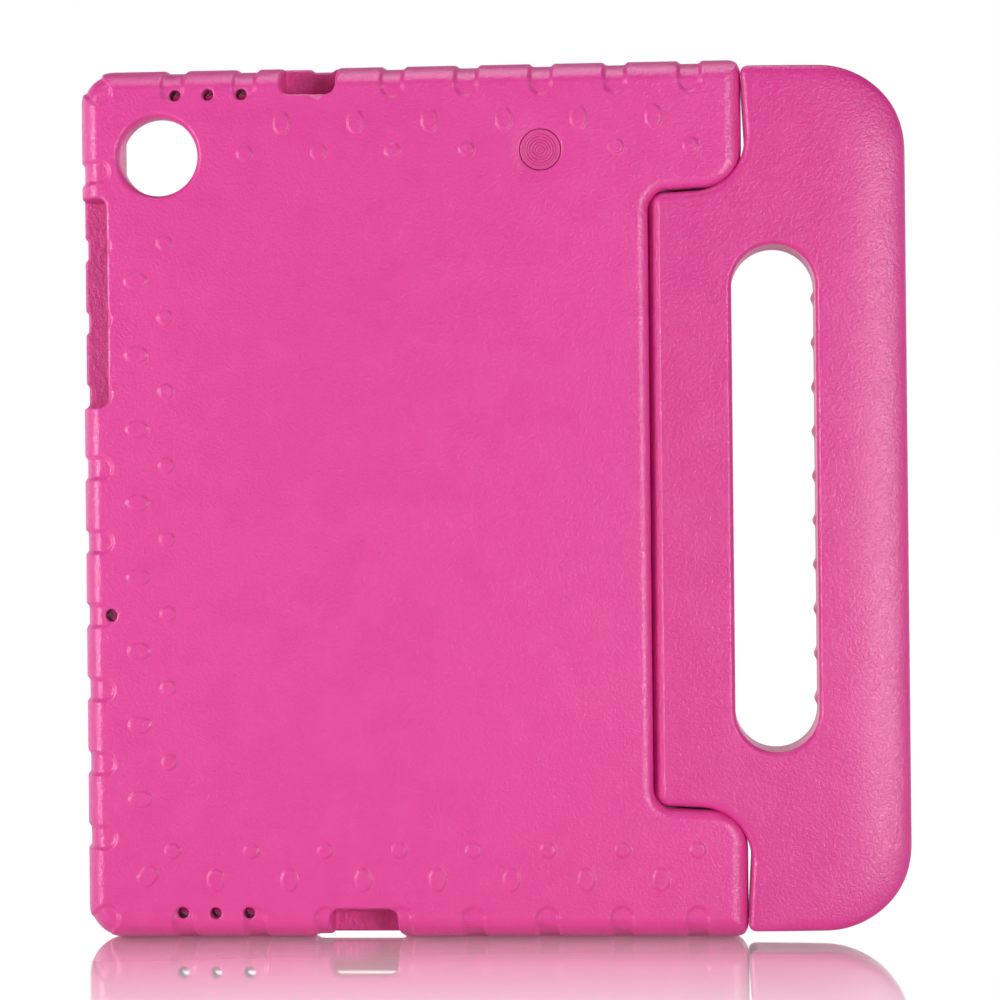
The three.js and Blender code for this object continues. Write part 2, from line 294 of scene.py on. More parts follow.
# The plug sits in a well at the middle of a shallow dish, cut by a ball centred outside the back.
PLUG_DISH = {"centre": 44.5, "radius": 45.2, "well": 3}

ROUND_HOLES = [(MICROPHONE["x"], MICROPHONE["z"], MICROPHONE["radius"])] + [
    (x, end * (HALF_HEIGHT - SOUND_HOLE["inset"]), SOUND_HOLE["radius"])
    for x in SOUND_HOLE["xs"]
    for end in (1, -1)
]

# Grooves that run from the back face round the edge to the front.
GROOVE = {
    "radius": 3.2,
    "reach": 10.4,
    "depth": 0.85,
    "wall": 1.5,
    "corner_radius": 3.7,
    "corner_reach": 7.4,
}
LEFT_GROOVES = [PITCH * (i + 0.5) for i in range(-5, 5)]
TOP_GROOVES = [29.4, 51.0, 73.0, 95.0, 117.0, 139.0, 160.8, 182.8]
BOTTOM_GROOVES = [30.5, 51.9, 73.0, 95.3, 117.0, 138.7, 160.7, 182.8]

# Low raised marks on the back: round ones on the ring line, ovals nearer the edge.
MARK = {"height": 0.5, "wall": 0.75, "round": 2.15, "long": 3.3, "short": 2.35, "lift": 0.45}
# Where the rows of marks along the top and bottom edges start, and the odd ones at the left end.
ROUND_START = 51.1
TOP_OVAL_START = 62.2
BOTTOM_OVAL_START = 40.3
CORNER_ROUND_X = 27.5
SLANTED_OVAL = (20.0, 19.3 - HALF_HEIGHT)


def groove_strokes():
    """Start, end and half width of each groove in the x-z plane, from past the edge to its inner end."""
    reach, past = GROOVE["reach"] - GROOVE["radius"], -6.0
    strokes = [((past, z), (reach, z), GROOVE["radius"]) for z in LEFT_GROOVES]
    for end, places in ((1, TOP_GROOVES), (-1, BOTTOM_GROOVES)):
        outside, inside = end * (HALF_HEIGHT - past), end * (HALF_HEIGHT - reach)
        strokes += [((x, outside), (x, inside), GROOVE["radius"]) for x in places]
        inner = end * (HALF_HEIGHT - GROOVE["corner_reach"])
        strokes.append(((past, outside), (GROOVE["corner_reach"], inner), GROOVE["corner_radius"]))
    return strokes


def marks():
    """(x, z, half width, half height) of each raised mark."""
    rounds, ovals = [], []
    half, long, short = MARK["round"], MARK["long"], MARK["short"]
    for i in range(8):
        rounds.append((RING_INSET, PITCH * (3.5 - i), half, half))
        ovals.append((OVAL_INSET, PITCH * (3 - i), long, short))
    for i in range(7):
        x = ROUND_START + PITCH * i
        rounds.append((x, -RING_Z, half, half))
        if abs(x - PLUG_X) > PITCH / 2:
            rounds.append((x, RING_Z, half, half))
        ovals.append((BOTTOM_OVAL_START + PITCH * i, OVAL_INSET - HALF_HEIGHT, short, long))
    for i in range(6):
        ovals.append((TOP_OVAL_START + PITCH * i, HALF_HEIGHT - OVAL_INSET, short, long))
    rounds.append((CORNER_ROUND_X, -RING_Z, half, half))
    return rounds + ovals


def carve_grooves(body, p):
    """Sinks the grooves into the body. Those under the case fade out before its front."""
    shape = np.full(np.broadcast(p.x, p.z).shape, FAR, p.x.dtype)
    for start, end, radius in groove_strokes():
        margin = radius + 2
        low = (min(start[0], end[0]) - margin, -FAR, min(start[1], end[1]) - margin)
        high = (max(start[0], end[0]) + margin, FAR, max(start[1], end[1]) + margin)
        found, q = p.near(low, high)
        if p.x.ndim > 1:
            found = (found[0], slice(None), found[2])
        stroke = capsule(q.x, q.z, start, end, radius)
        shape[found] = np.minimum(shape[found], stroke)
    depth = GROOVE["depth"] * (1 - step(p.y, -5, 2) * step(-p.z, HALF_HEIGHT - 14, HALF_HEIGHT - 8))
    body += depth * (1 - step(shape, -GROOVE["wall"] / 2, GROOVE["wall"] / 2))


def raise_marks(body, p):
    """Lifts the marks out of the body. The one with no width is the slanted oval in the corner."""
    for x, z, wide, tall in marks() + [(*SLANTED_OVAL, 0, 0)]:
        z += MARK["lift"]
        reach = MARK["long"] + 1.5
        found, q = p.near((x - reach, -FAR, z - reach), (x + reach, 4 - HALF_DEPTH, z + reach))
        if wide:
            size = np.sqrt(((q.x - x) / wide) ** 2 + ((q.z - z) / tall) ** 2)
            distance = (size - 1) * min(wide, tall)
        else:
            half = (MARK["long"] - MARK["short"]) / math.sqrt(2)
            distance = capsule(q.x, q.z, (x - half, z - half), (x + half, z + half), MARK["short"])
        body[found] -= MARK["height"] * (1 - step(distance, -MARK["wall"] / 2, MARK["wall"] / 2))


def soften(body, p, low, high, tool, size):
    """Cuts a tool out of the body within a box, with softened edges."""
    found, q = p.near(low, high)
    body[found] = smooth_max(body[found], -tool(q), size)


def case_field(p):
    """Distance to the case's surface, with its bay, openings, grooves, marks and bores."""
    x, y, z = p.x, p.y, p.z
    rim = outline_distance(CASE_OUTLINE, x, z)
    outer = outline_distance(OUTER_EDGE, x, z)
    back = oval_max(outer, -y - HALF_DEPTH, WAIST["back"], HALF_DEPTH + WAIST["y"])
    front = oval_max(outer, y - HALF_DEPTH, WAIST["front"], HALF_DEPTH - WAIST["y"])
    body = np.where(y < WAIST["y"], back, front)
    beside = step(np.abs(z), 95, 104)
    rounding = HINGE_ROUND["face"] * (1 - beside) + HINGE_ROUND["side"] * beside
    body = np.maximum(body, round_max(rim, np.abs(y) - HALF_DEPTH, rounding))
    carve_grooves(body, p)
    raise_marks(body, p)

    def trough(q):
        drum = np.hypot(q.x - PIVOT_X, q.y) - TROUGH_RADIUS
        drum = round_max(drum, np.abs(q.z) - face_height(q.x, LOBE_FACE), TROUGH_RIM)
        return np.maximum(drum, q.x - 175)

    soften(body, p, (165, -20, -100), (178, 20, 100), trough, 1.0)

    found, q = p.near((0, -6, -FAR), (170, 6, FAR))
    bay = outline_distance(BAY_OUTLINE, q.x, q.z)
    bay = round_max(bay, np.abs(q.y) - BAY["depth"], 0.8)
    body[found] = smooth_max(body[found], -bay, 0.6)

    found, q = p.near((0, 2, -FAR), (170, 20, FAR))
    window = outline_distance(WINDOW_OUTLINE, q.x, q.z)
    frame_side = round_max(-window, q.y - HALF_DEPTH, 3.2)
    body[found] = smooth_max(body[found], np.minimum(frame_side, q.y - BAY["depth"] + 2), 0.6)

    found, q = p.near((5, -20, 80), (50, -2, 125))
    away = CAMERA_HOLE["radius"] - np.hypot(q.x - CAMERA_HOLE["x"], q.z - RING_Z)
    rim_slope = (away - HALF_DEPTH - q.y + CAMERA_HOLE["rim"]) / math.sqrt(2)
    body[found] = smooth_max(body[found], smooth_max(away, rim_slope, 1.2), 0.4)

    for left, right, low, high in CUTS.values():
        shape = rectangle(left, right, low, high, CUT_CORNER)

        def cut(q):
            return smooth_max(outline_distance(shape, q.x, q.z), q.y - BAY["depth"] + 1, 0.6)

        soften(body, p, (left - 4, -20, low - 4), (right + 4, 8, high + 4), cut, 1.0)

    def scoop(q):
        return outline_distance(SCOOP_OUTLINE, q.x, q.z)

    soften(body, p, (60, -20, -140), (110, 20, 4 - HALF_HEIGHT), scoop, 0.8)

    for hole_x, hole_z, radius in ROUND_HOLES:
        found, q = p.near((hole_x - 4, -20, hole_z - 4), (hole_x + 4, -3, hole_z + 4))
        hole = np.hypot(q.x - hole_x, q.z - hole_z) - radius
        body[found] = smooth_max(body[found], -hole, 0.8)

    def pocket(q):
        away = np.hypot(q.x - PLUG_X, q.z - RING_Z)
        dish = np.hypot(away, q.y + HALF_DEPTH + PLUG_DISH["centre"]) - PLUG_DISH["radius"]
        well = np.maximum(away - PLUG_RADIUS - PLUG_GAP, q.y + HALF_DEPTH - PLUG_DISH["well"])
        return smooth_min(dish, well, 0.5)

    soften(body, p, (PLUG_X - 12, -20, RING_Z - 12), (PLUG_X + 12, -7, RING_Z + 12), pocket, 0.5)

    def bush_bore(q):
        away = np.hypot(q.x - PIVOT_X, q.y)
        height = np.abs(q.z) - LOBE_FACE
        flange = np.maximum(away - BUSH["flange"] - FIT_GAP, height - BUSH["flange_depth"] - FIT_GAP)
        barrel = np.maximum(away - BUSH["barrel"] - FIT_GAP, height - BUSH["barrel_depth"] - FIT_GAP)
        return np.minimum(flange, barrel)

    for low, high in ((-125, -80), (80, 125)):
        soften(body, p, (170, -12, low), (198, 12, high), bush_bore, 0.4)
    return body


# ---- The handle's field -----------------------------------------------------------------------------

TAB_EDGE = PIVOT_X - TAB_RADIUS
ARM_FILLET = 15.5
ARM_END_CORNER = 2.2
HANDLE_CORNER = 25.5
HANDLE_OUTLINE = outline([
    (TAB_EDGE, -face_height(TAB_EDGE, TAB_END), TAB_CORNER),
    (ARM_FOOT, -face_height(ARM_FOOT, TAB_END), ARM_FILLET),
    (ARM_WALL, -HANDLE_HALF, ARM_END_CORNER),
    (BAR_EDGE, -HANDLE_HALF, HANDLE_CORNER),
    (BAR_EDGE, HANDLE_HALF, HANDLE_CORNER),
    (ARM_WALL, HANDLE_HALF, ARM_END_CORNER),
    (ARM_FOOT, face_height(ARM_FOOT, TAB_END), ARM_FILLET),
    (TAB_EDGE, face_height(TAB_EDGE, TAB_END), TAB_CORNER),
])
SLOT_OUTLINE = rectangle(
    SLOT["left"], SLOT["right"], -SLOT["half"], SLOT["half"], (SLOT["right"] - SLOT["left"]) / 2 - 0.01
)
# The bar is gently crowned from the slot to its outer edge.
CROWN_OUTLINE = rectangle(-100.0, BAR_EDGE, -HANDLE_HALF - 14, HANDLE_HALF + 14, 40.0)
CROWN = {"wide": 24.0, "deep": 6.5}
SLOT_ROUND = 2.2
# Finger ridges on the slot's outer wall.
RIDGE = {"pitch": 13.24, "count": 10, "height": 0.9, "half": 2.6}
# Above and below the tab, the handle stays outside this drum about the axis, and the lobes turn inside it.
SWEEP = {"radius": 16.5, "round": 11.3}


def handle_field(p):
    """Distance to the handle's surface, with its grip slot, ridges, tab and bores."""
    x, y, z = p.x, p.y, p.z
    rim = outline_distance(HANDLE_OUTLINE, x, z)
    slot = outline_distance(SLOT_OUTLINE, x, z)
    face = np.abs(y) - HALF_DEPTH
    body = round_max(rim, face, 2.8 + 3.2 * step(x, 200, 240))
    crown = outline_distance(CROWN_OUTLINE, x, z)
    body = smooth_max(body, oval_max(crown, face, CROWN["wide"], CROWN["deep"]), 1.0)
    body = np.maximum(body, round_max(-slot, face, SLOT_ROUND))

    found, q = p.near((SLOT["right"] - 4, -4, -80), (SLOT["right"] + 6, 20, 80))
    across = (q.z / RIDGE["pitch"] + RIDGE["count"] / 2) % 1 - 0.5
    ends = step(RIDGE["count"] / 2 * RIDGE["pitch"] - np.abs(q.z), -1, 1)
    ridge = 1 - step(np.abs(across) * RIDGE["pitch"], 0, RIDGE["half"])
    deep = step(q.y, -2, 1.5) * (1 - step(q.y, 8, 12.5))
    body[found] -= RIDGE["height"] * ridge * deep * ends

    found, q = p.near((160, -20, -100), (PIVOT_X + 4, 20, 100))
    drum = np.hypot(q.x - PIVOT_X, q.y) - TAB_RADIUS
    drum = round_max(drum, np.abs(q.z) - face_height(q.x, TAB_END), 2.8)
    body[found] = np.maximum(body[found], np.minimum(PIVOT_X - q.x, drum))

    def sweep(q):
        away = np.hypot(q.x - PIVOT_X, q.y)
        beyond_face = face_height(q.x, LOBE_FACE) - FIT_GAP - np.abs(q.z)
        return round_max(away - SWEEP["radius"], beyond_face, SWEEP["round"])

    def bores(q):
        away = np.hypot(q.x - PIVOT_X, q.y)
        down = TAB_END - np.abs(q.z)
        recess = np.maximum(away - WASHER["radius"] - FIT_GAP, down - WASHER["depth"])
        journal = np.maximum(away - PIN["radius"] - FIT_GAP, down - PIN["depth"])
        foot = np.maximum(away - PIN["foot"] - FIT_GAP, np.abs(down - PIN["foot_at"]) - 1 - FIT_GAP)
        collar = np.maximum(away - PIN["collar"] - FIT_GAP, np.abs(down - PIN["collar_at"]) - 1.5 - FIT_GAP)
        return np.minimum(np.minimum(recess, journal), np.minimum(foot, collar))

    for low, high in ((-140, -60), (60, 140)):
        soften(body, p, (160, -20, low), (206, 20, high), sweep, 0.6)
        soften(body, p, (174, -10, low), (194, 10, high), bores, 0.4)
    return body


# ---- From a field to a mesh -------------------------------------------------------------------------

CELL_CORNERS = np.array([(i, j, k) for i in (0, 1) for j in (0, 1) for k in (0, 1)])
CELL_EDGES = [
    (a, b)
    for a in range(8)
    for b in range(a + 1, 8)
    if np.abs(CELL_CORNERS[a] - CELL_CORNERS[b]).sum() == 1
]


def surface_net(values):
    """The zero surface of a grid as vertices, in grid steps, and quads: a vertex in each cell it crosses."""
    inside = values < 0
    size = np.array(values.shape) - 1
    first = inside[:-1, :-1, :-1]
    mixed = np.zeros(size, bool)
    for i, j, k in CELL_CORNERS[1:]:
        mixed |= inside[i:size[0] + i, j:size[1] + j, k:size[2] + k] != first
    cells = np.argwhere(mixed)
    corner = [values[tuple((cells + c).T)] for c in CELL_CORNERS]
    total, count = np.zeros((len(cells), 3)), np.zeros(len(cells))
    for a, b in CELL_EDGES:
        crossed = np.flatnonzero((corner[a] < 0) != (corner[b] < 0))
        share = corner[a][crossed] / (corner[a][crossed] - corner[b][crossed])
        total[crossed] += CELL_CORNERS[a] + share[:, None] * (CELL_CORNERS[b] - CELL_CORNERS[a])
        count[crossed] += 1
    number = np.full(size, -1, np.int32)
    number[mixed] = np.arange(len(cells))
    quads = []
    for axis in range(3):
        u, v = (axis + 1) % 3, (axis + 2) % 3
        span = [slice(1, -1)] * 3
        span[axis] = slice(0, -1)
        low = inside[tuple(span)]
        span[axis] = slice(1, None)
        changed = low != inside[tuple(span)]
        at = np.argwhere(changed)
        at[:, u] += 1
        at[:, v] += 1
        ring = []
        for du, dv in ((-1, -1), (0, -1), (0, 0), (-1, 0)):
            cell = at.copy()
            cell[:, u] += du
            cell[:, v] += dv
            ring.append(number[tuple(cell.T)])
        ring = np.stack(ring, 1)
        outward = low[changed]
        ring[~outward] = ring[~outward][:, ::-1]
        quads.append(ring)
    return cells + total / count[:, None], np.concatenate(quads)


def mesh_object(name, vertices, faces):
    """A mesh object from arrays of points in this file's millimetres and of faces with equal sides."""
    mesh = bpy.data.meshes.new(name)
    sides = faces.shape[1]
    mesh.vertices.add(len(vertices))
    mesh.vertices.foreach_set("co", ((vertices + ORIGIN) * MM).astype(np.float32).ravel())
    mesh.loops.add(faces.size)
    mesh.loops.foreach_set("vertex_index", faces.astype(np.int32).ravel())
    mesh.polygons.add(len(faces))
    mesh.polygons.foreach_set("loop_start", np.arange(0, faces.size, sides, dtype=np.int32))
    mesh.update(calc_edges=True)
    made = bpy.data.objects.new(name, mesh)
    bpy.context.scene.collection.objects.link(made)
    return made


def thinned(made, triangles):
    """Collapses the flattest edges of a mesh of quads until that many triangles are left."""
    mesh = made.data
    collapse = made.modifiers.new("thin", "DECIMATE")
    collapse.ratio = min(1.0, triangles / (2 * len(mesh.polygons)))
    collapse.use_collapse_triangulate = True
    depsgraph = bpy.context.evaluated_depsgraph_get()
    thin = bpy.data.meshes.new_from_object(made.evaluated_get(depsgraph))
    made.modifiers.clear()
    made.data = thin
    bpy.data.meshes.remove(mesh)


PROBES = np.array([(1, -1, -1), (-1, -1, 1), (-1, 1, -1), (1, 1, 1)], float)


def measured(field, points, reach=0.04):
    """A field's value and slope at points, from four probes around each."""
    value, slope = np.zeros(len(points)), np.zeros((len(points), 3))
    for probe in PROBES:
        at = points + probe * reach
        distance = field(Samples(at[:, 0], at[:, 1], at[:, 2]))
        value += distance / 4
        slope += probe * distance[:, None] / (4 * reach)
    return value, slope


def settle(made, field):
    """Puts a mesh's vertices on the field's surface and gives them its exact directions."""
    mesh = made.data
    flat = np.zeros(len(mesh.vertices) * 3, np.float32)
    mesh.vertices.foreach_get("co", flat)
    points = flat.reshape(-1, 3).astype(float) / MM - ORIGIN
    for _ in range(3):
        value, slope = measured(field, points)
        steep = np.maximum((slope * slope).sum(1), 0.25)
        move = -slope * (value / steep)[:, None]
        length = np.linalg.norm(move, axis=1)
        move *= np.minimum(1, 0.25 / np.maximum(length, 1e-9))[:, None]
        points += move
    slope = measured(field, points)[1]
    slope /= np.maximum(np.linalg.norm(slope, axis=1), 1e-9)[:, None]
    mesh.vertices.foreach_set("co", ((points + ORIGIN) * MM).astype(np.float32).ravel())
    mesh.polygons.foreach_set("use_smooth", np.ones(len(mesh.polygons), bool))
    mesh.normals_split_custom_set_from_vertices(slope.tolist())
    mesh.update()


def moulded(name, field, low, high, voxel, triangles):
    """A foam moulding's skin, drawn from its field."""
    axes = [np.arange(a - 1.3, b + 1.3 + voxel, voxel, dtype=np.float32) for a, b in zip(low, high)]
    x, y, z = axes
    grid = Samples(x[:, None, None], y[None, :, None], z[None, None, :])
    vertices, quads = surface_net(field(grid))
    start = np.array([axis[0] for axis in axes], float)
    made = mesh_object(name, vertices * voxel + start, quads)
    thinned(made, triangles)
    settle(made, field)
    return made


# ---- Materials --------------------------------------------------------------------------------------


def linear(*srgb):
    """A colour given in 0-255 sRGB, as the shader's linear values."""
    channels = [c / 255 for c in srgb]
    return tuple(c / 12.92 if c <= 0.04045 else ((c + 0.055) / 1.055) ** 2.4 for c in channels) + (1.0,)


class Shader:
    """A material's node tree, with short calls to add and join nodes."""

    def __init__(self, name):
        self.material = bpy.data.materials.new(name)
        self.material.use_nodes = True
        self.tree = self.material.node_tree
        self.surface = self.tree.nodes["Principled BSDF"]
        self.place = self.add("ShaderNodeTexCoord").outputs["Object"]

    def add(self, kind, **values):
        node = self.tree.nodes.new(kind)
        for key, value in values.items():
            if key in node.inputs:
                self.feed(node.inputs[key], value)
            else:
                setattr(node, key, value)
        return node

    def feed(self, socket, value):
        if isinstance(value, bpy.types.NodeSocket):
            self.tree.links.new(value, socket)
        else:
            socket.default_value = value

    def noise(self, size_mm, detail=2.0, stretch=None, roughness=0.5):
        """Noise whose features are about that many millimetres across, from 0 to 1."""
        place = self.place
        if stretch:
            mapping = self.add("ShaderNodeMapping", Vector=place, Scale=stretch)
            place = mapping.outputs[0]
        node = self.add("ShaderNodeTexNoise", Vector=place, Scale=1000 / size_mm)
        self.feed(node.inputs["Detail"], detail)
        self.feed(node.inputs["Roughness"], roughness)
        return node.outputs["Fac"]

    def ranged(self, value, low, high, start=0.3, end=0.7):
        """From low to high as the value goes from start to end, which most noise stays between."""
        node = self.add("ShaderNodeMapRange")
        for i, part in enumerate((value, start, end, low, high)):
            self.feed(node.inputs[i], part)
        return node.outputs[0]

    def math(self, operation, a, b):
        node = self.add("ShaderNodeMath", operation=operation)
        self.feed(node.inputs[0], a)
        self.feed(node.inputs[1], b)
        return node.outputs[0]

    def mix(self, share, a, b):
        node = self.add("ShaderNodeMix", data_type="RGBA")
        self.feed(node.inputs[0], share)
        self.feed(node.inputs[6], a)
        self.feed(node.inputs[7], b)
        return node.outputs[2]

    def bump(self, height, depth_mm, normal=None):
        node = self.add("ShaderNodeBump", Height=height, Distance=depth_mm * MM, Strength=1.0)
        if normal is not None:
            self.feed(node.inputs["Normal"], normal)
        return node.outputs[0]

    def finish(self, **values):
        for key, value in values.items():
            self.feed(self.surface.inputs[key.replace("_", " ")], value)
        return self.material


def foam(name, colour, deep_colour):
    """Closed-skin EVA foam: a fine pebbled skin, faint mottling, a rough cut face inside the openings, and
    painted shade deep in the small round holes.
    """
    s = Shader(name)
    inner = s.add("ShaderNodeAttribute", attribute_name="inner").outputs["Fac"]
    grain = s.noise(0.9, detail=2.0, roughness=0.6)
    fine = s.noise(0.4, detail=1.0)
    mottle = s.noise(9.0, detail=3.0)
    cloud = s.noise(45.0, detail=2.0)
    drag = s.noise(1.2, detail=2.0, stretch=(1.0, 1.0, 0.5))
    skin = s.mix(s.ranged(mottle, 0.0, 0.07), colour, linear(255, 130, 190))
    skin = s.mix(s.ranged(cloud, 0.0, 0.05), skin, linear(170, 30, 100))
    skin = s.mix(s.ranged(grain, 0.0, 0.05), skin, linear(190, 40, 115))
    cut = s.mix(s.ranged(drag, 0.0, 0.35), deep_colour, linear(150, 25, 88))
    # Where the painted value is 2, deep in the sound holes and the microphone's, the colour goes much darker:
    # painted shade.
    cut = s.mix(s.ranged(inner, 0.0, 1.0, 1.0, 2.0), cut, linear(96, 16, 56))
    rough = s.ranged(grain, 0.28, 0.44)
    rough = s.math("ADD", rough, s.math("MULTIPLY", inner, 0.25))
    relief = s.bump(grain, 0.21)
    relief = s.bump(fine, 0.07, relief)
    relief = s.bump(mottle, 0.04, relief)
    relief = s.bump(s.math("MULTIPLY", drag, inner), 0.3, relief)
    return s.finish(
        Base_Color=s.mix(inner, skin, cut),
        Roughness=rough,
        Specular_IOR_Level=0.75,
        Normal=relief,
    )


def steel():
    s = Shader("turned_steel")
    rings = s.noise(0.5, detail=2.0, stretch=(0.05, 0.05, 1.0))
    smear = s.noise(6.0, detail=2.0)
    tint = s.mix(s.ranged(smear, 0.0, 0.35), linear(206, 208, 212), linear(170, 172, 178))
    rough = s.ranged(rings, 0.22, 0.4)
    return s.finish(Base_Color=tint, Metallic=1.0, Roughness=rough, Normal=s.bump(rings, 0.02))


def nylon():
    s = Shader("black_nylon")
    cloud = s.noise(3.0, detail=3.0)
    grain = s.noise(0.3, detail=1.0)
    tint = s.mix(s.ranged(cloud, 0.0, 0.4), linear(38, 37, 39), linear(58, 56, 58))
    return s.finish(Base_Color=tint, Roughness=s.ranged(grain, 0.38, 0.52), Normal=s.bump(grain, 0.015))


# ---- Pieces -----------------------------------------------------------------------------------------


def finished(made, body, node, material):
    """Gives a foam piece its material, and says what it rides on and stands for."""
    made.data.materials.clear()
    made.data.materials.append(material)
    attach(made, body)
    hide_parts(node)


def paint_openings(made, share):
    """Stores on each vertex 0 for the skin, 1 for a cut-out's face, and 2 deep inside a small round hole,
    where the material paints shade.
    """
    mesh = made.data
    flat = np.zeros(len(mesh.vertices) * 3, np.float32)
    mesh.vertices.foreach_get("co", flat)
    points = flat.reshape(-1, 3) / MM - ORIGIN
    layer = mesh.attributes.new("inner", "FLOAT", "POINT")
    layer.data.foreach_set("value", share(*points.T).astype(np.float32))


def skin_only(x, y, z):
    return np.zeros(len(x))


def cut_faces_and_hole_shade(x, y, z):
    """1 on the walls of the three port cut-outs, and 2 in the sound holes and the microphone's, which marks
    painted shade there.
    """
    found = np.zeros(len(x))
    past_back_edge = step(y, 3.0 - HALF_DEPTH, 6.0 - HALF_DEPTH)
    behind_lip = past_back_edge * (1 - step(y, BAY["depth"] - 1.2, BAY["depth"] - 0.6))
    for left, right, low, high in CUTS.values():
        distance = outline_distance(rectangle(left, right, low, high, CUT_CORNER), x, z)
        found = np.maximum(found, (1 - step(distance, 0.1, 0.7)) * behind_lip)
    past_skin = step(y, 0.4 - HALF_DEPTH, 2.5 - HALF_DEPTH)
    in_panel = past_skin * (1 - step(y, -BAY["depth"] - 0.8, -BAY["depth"]))
    # The 2 inside the round holes is where the foam gets painted shade.
    for hole_x, hole_z, radius in ROUND_HOLES:
        distance = np.hypot(x - hole_x, z - hole_z) - radius
        found = np.maximum(found, 2 * (1 - step(distance, 0.2, 0.8)) * in_panel)
    return found


def ringed_plug():
    """The press-in plug: a turned disc whose face carries fine concentric grooves."""
    around, rings = 120, 84
    top, bottom = PLUG_LOW[1], PLUG_HIGH[1]
    radius = np.linspace(0.12, PLUG_RADIUS - 0.35, rings)
    wave = 0.5 - 0.5 * np.cos(2 * np.pi * radius / 0.86)
    profile = list(zip(radius, top + 0.32 * wave ** 3 * (radius < PLUG_RADIUS - 1.2) + 0.05))
    for angle in np.linspace(0, np.pi / 2, 5):
        profile.append((PLUG_RADIUS - 0.3 + 0.3 * np.sin(angle), top + 0.3 - 0.3 * np.cos(angle)))
    profile += [(PLUG_RADIUS, bottom - 0.3), (PLUG_RADIUS - 0.3, bottom), (0.12, bottom)]
    turn = np.linspace(0, 2 * np.pi, around, endpoint=False)
    points = [(PLUG_X + r * np.cos(a), y, RING_Z + r * np.sin(a)) for r, y in profile for a in turn]
    points += [(PLUG_X, profile[0][1], RING_Z), (PLUG_X, bottom, RING_Z)]
    first, last = len(points) - 2, len(points) - 1
    faces = []
    for ring in range(len(profile) - 1):
        for i in range(around):
            a, b = ring * around + i, ring * around + (i + 1) % around
            faces.append((a, b, b + around))
            faces.append((a, b + around, a + around))
    end = (len(profile) - 1) * around
    for i in range(around):
        j = (i + 1) % around
        faces.append((first, j, i))
        faces.append((last, end + i, end + j))
    made = mesh_object("plug_rings", np.array(points), np.array(faces))
    made.data.polygons.foreach_set("use_smooth", np.ones(len(faces), bool))
    return made


CASE_PINK = linear(223, 58, 150)
# The handle is the same foam as the case, given a little darker here as painted shade for its dimmer light.
SHADED_HANDLE_PINK = linear(215, 47, 141)
DEEP_PINK = linear(230, 62, 152)
VOXEL = 0.5
CASE_TRIANGLES = 180000
HANDLE_TRIANGLES = 120000

case_skin = moulded(
    "case_skin",
    case_field,
    (0, -HALF_DEPTH, -HALF_HEIGHT),
    (LOBE_EDGE, HALF_DEPTH, HALF_HEIGHT),
    VOXEL,
    CASE_TRIANGLES,
)
paint_openings(case_skin, cut_faces_and_hole_shade)
finished(case_skin, "case", "case_shell", foam("case_foam", CASE_PINK, DEEP_PINK))

handle_skin = moulded(
    "handle_skin",
    handle_field,
    (TAB_EDGE, -HALF_DEPTH, -HANDLE_HALF),
    (BAR_EDGE, HALF_DEPTH, HANDLE_HALF),
    VOXEL,
    HANDLE_TRIANGLES,
)
paint_openings(handle_skin, skin_only)
finished(handle_skin, "handle", "handle", foam("handle_foam", SHADED_HANDLE_PINK, DEEP_PINK))

plug = ringed_plug()
paint_openings(plug, skin_only)
finished(plug, "case", "back_plug", foam("plug_foam", linear(214, 60, 142), DEEP_PINK))

STEEL, NYLON = steel(), nylon()
for name, node in frame["nodes"].items():
    if "hinge" in name:
        material = STEEL if name.endswith("pin") else NYLON
        if not node.material_slots:
            node.data.materials.append(material)
        node.material_slots[0].material = material

# ---- Camera, floor and light ------------------------------------------------------------------------

CENTRE = Vector(((CAD_BOX[0].x + CAD_BOX[1].x) / 2, 0.0, (CAD_BOX[0].z + CAD_BOX[1].z) / 2))
LENS_MM = 108.72
CAMERA_FROM_CENTRE = Vector((0.0649, -0.900, 0.0003))


def add_camera():
    """Level with the middle of the case, a little to its right, and turned slightly left and rolled."""
    data = bpy.data.cameras.new("camera")
    data.sensor_width = 36.0
    data.lens = LENS_MM
    camera = bpy.data.objects.new("camera", data)
    yaw, roll = 0.0695, -0.0103
    camera.matrix_world = (
        Matrix.Translation(CENTRE + CAMERA_FROM_CENTRE)
        @ Matrix.Rotation(yaw, 4, "Z")
        @ Matrix.Rotation(math.pi / 2, 4, "X")
        @ Matrix.Rotation(roll, 4, "Z")
    )
    bpy.context.scene.collection.objects.link(camera)
    bpy.context.scene.camera = camera


def add_softbox(name, offset, width, height, power):
    """A rectangular light, off from the object's centre and facing it. The camera doesn't see it."""
    place = CENTRE + Vector(offset)
    data = bpy.data.lights.new(name, "AREA")
    data.shape = "RECTANGLE"
    data.size, data.size_y = width, height
    data.energy = power
    light = bpy.data.objects.new(name, data)
    light.location = place
    light.rotation_mode = "QUATERNION"
    light.rotation_quaternion = (CENTRE - place).to_track_quat("-Z", "Y")
    bpy.context.scene.collection.objects.link(light)
    light.visible_camera = False


